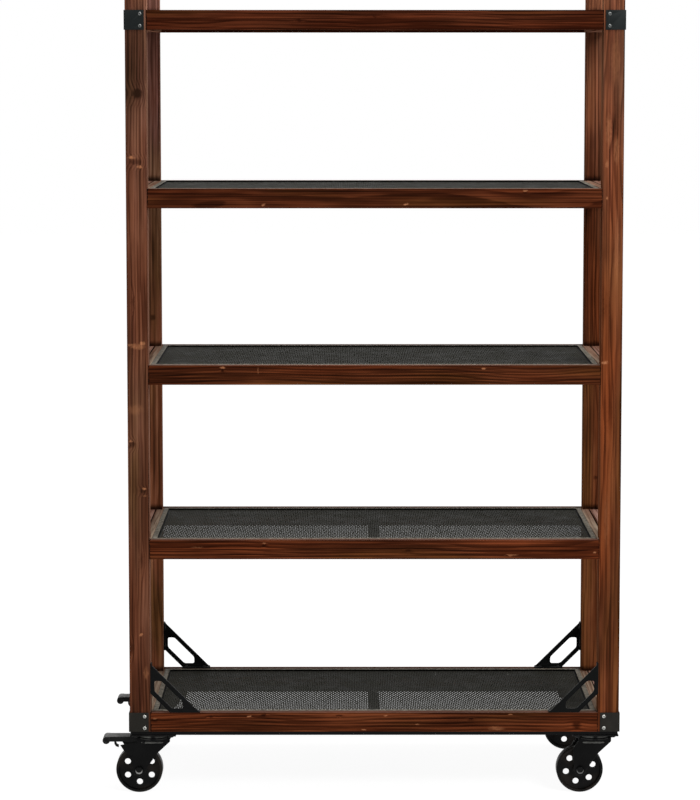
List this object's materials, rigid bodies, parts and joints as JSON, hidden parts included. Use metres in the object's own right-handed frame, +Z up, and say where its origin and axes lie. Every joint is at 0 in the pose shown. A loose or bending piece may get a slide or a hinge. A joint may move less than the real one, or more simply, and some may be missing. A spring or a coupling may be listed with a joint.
{
  "type": "rolling shelf",
  "caption": "Rolling shelf: stained timber posts and rails carry steel mesh decks, with black corner brackets, gussets and swivel casters, some with foot brakes.",
  "frame": {"origin": "on the floor, under the middle of the overall box (29 mm to the left of the timber frame's middle, because two brake pedals reach out to the left)", "axes": "+Z up, +X to the right along the shelves, -Y to the front"},
  "size_m": [1.133, 0.465, 1.742],
  "materials": {
    "post_left": "stained softwood, satin varnish, dark growth rings and small knots",
    "post_right": "stained softwood, satin varnish, a little warmer and lighter",
    "rail": "stained softwood, satin varnish, red-brown with long grain",
    "board": "stained softwood, satin varnish",
    "dowel": "plain beech",
    "rim_steel": "bare rolled steel under clear lacquer",
    "mesh_steel": "dark lacquered steel mesh",
    "black_steel": "matt black powder coat",
    "caster_steel": "satin black paint",
    "pedal_steel": "satin black paint, worn at the tread",
    "wheel": "hard black plastic, slightly shiny",
    "zinc": "bright zinc plate",
    "black_screw": "black oxide"
  },
  "bodies": {
    "frame": {"post_front_left": "post_left", "post_front_right": "post_right", "post_back_left": "post_left", "post_back_right": "post_right", "front_rail_1": "rail", "front_rail_2": "rail", "front_rail_3": "rail", "front_rail_4": "rail", "front_rail_5": "rail", "back_rail_1": "rail", "back_rail_2": "rail", "back_rail_3": "rail", "back_rail_4": "rail", "back_rail_5": "rail", "side_boards_1": "board", "side_boards_2": "board", "side_boards_3": "board", "side_boards_4": "board", "side_boards_5": "board", "side_battens": "board", "deck_rim_1": "rim_steel", "deck_rim_2": "rim_steel", "deck_rim_3": "rim_steel", "deck_rim_4": "rim_steel", "deck_rim_5": "rim_steel", "deck_mesh_1": "mesh_steel", "deck_mesh_2": "mesh_steel", "deck_mesh_3": "mesh_steel", "deck_mesh_4": "mesh_steel", "deck_mesh_5": "mesh_steel", "deck_bars": "rim_steel", "top_brackets": "black_steel", "bottom_brackets": "black_steel", "gussets": "black_steel", "bracket_screws": "zinc", "gusset_screws": "black_screw", "deck_screws": "zinc", "rail_bolts": "zinc", "barrel_nuts": "zinc", "dowels": "dowel", "base_frame": "black_steel", "caster_plates": "caster_steel", "caster_screws": "zinc", "kingpins": "zinc", "swivel_balls": "zinc"},
    "swivel_front_left": {"yoke_front_left": "caster_steel", "axle_front_left": "black_screw"},
    "wheel_front_left": {"wheel_front_left": "wheel"},
    "brake_pedal_front_left": {"brake_pedal_front_left": "pedal_steel"},
    "swivel_front_right": {"yoke_front_right": "caster_steel", "axle_front_right": "black_screw"},
    "wheel_front_right": {"wheel_front_right": "wheel"},
    "swivel_back_left": {"yoke_back_left": "caster_steel", "axle_back_left": "black_screw"},
    "wheel_back_left": {"wheel_back_left": "wheel"},
    "brake_pedal_back_left": {"brake_pedal_back_left": "pedal_steel"},
    "swivel_back_right": {"yoke_back_right": "caster_steel", "axle_back_right": "black_screw"},
    "wheel_back_right": {"wheel_back_right": "wheel"}
  },
  "joints": [
    {"name": "caster_swivel_front_left", "type": "hinge", "parent": "frame", "child": "swivel_front_left", "pos_m": [-0.4545, -0.1885, 0.134], "axis": [0, 0, 1], "continuous": true},
    {"name": "wheel_spin_front_left", "type": "hinge", "parent": "swivel_front_left", "child": "wheel_front_left", "pos_m": [-0.4865, -0.1885, 0.051], "axis": [0, 1, 0], "continuous": true},
    {"name": "brake_pedal_front_left", "type": "hinge", "parent": "swivel_front_left", "child": "brake_pedal_front_left", "pos_m": [-0.4765, -0.1885, 0.113], "axis": [0, -1, 0], "range_deg": [0, 10]},
    {"name": "caster_swivel_front_right", "type": "hinge", "parent": "frame", "child": "swivel_front_right", "pos_m": [0.5125, -0.1885, 0.134], "axis": [0, 0, 1], "continuous": true},
    {"name": "wheel_spin_front_right", "type": "hinge", "parent": "swivel_front_right", "child": "wheel_front_right", "pos_m": [0.4805, -0.1885, 0.051], "axis": [0, 1, 0], "continuous": true},
    {"name": "caster_swivel_back_left", "type": "hinge", "parent": "frame", "child": "swivel_back_left", "pos_m": [-0.4545, 0.1885, 0.134], "axis": [0, 0, 1], "continuous": true},
    {"name": "wheel_spin_back_left", "type": "hinge", "parent": "swivel_back_left", "child": "wheel_back_left", "pos_m": [-0.4865, 0.1885, 0.051], "axis": [0, 1, 0], "continuous": true},
    {"name": "brake_pedal_back_left", "type": "hinge", "parent": "swivel_back_left", "child": "brake_pedal_back_left", "pos_m": [-0.4765, 0.1885, 0.113], "axis": [0, -1, 0], "range_deg": [0, 10]},
    {"name": "caster_swivel_back_right", "type": "hinge", "parent": "frame", "child": "swivel_back_right", "pos_m": [0.5125, 0.1885, 0.134], "axis": [0, 0, 1], "continuous": true},
    {"name": "wheel_spin_back_right", "type": "hinge", "parent": "swivel_back_right", "child": "wheel_back_right", "pos_m": [0.4805, 0.1885, 0.051], "axis": [0, 1, 0], "continuous": true}
  ]
}
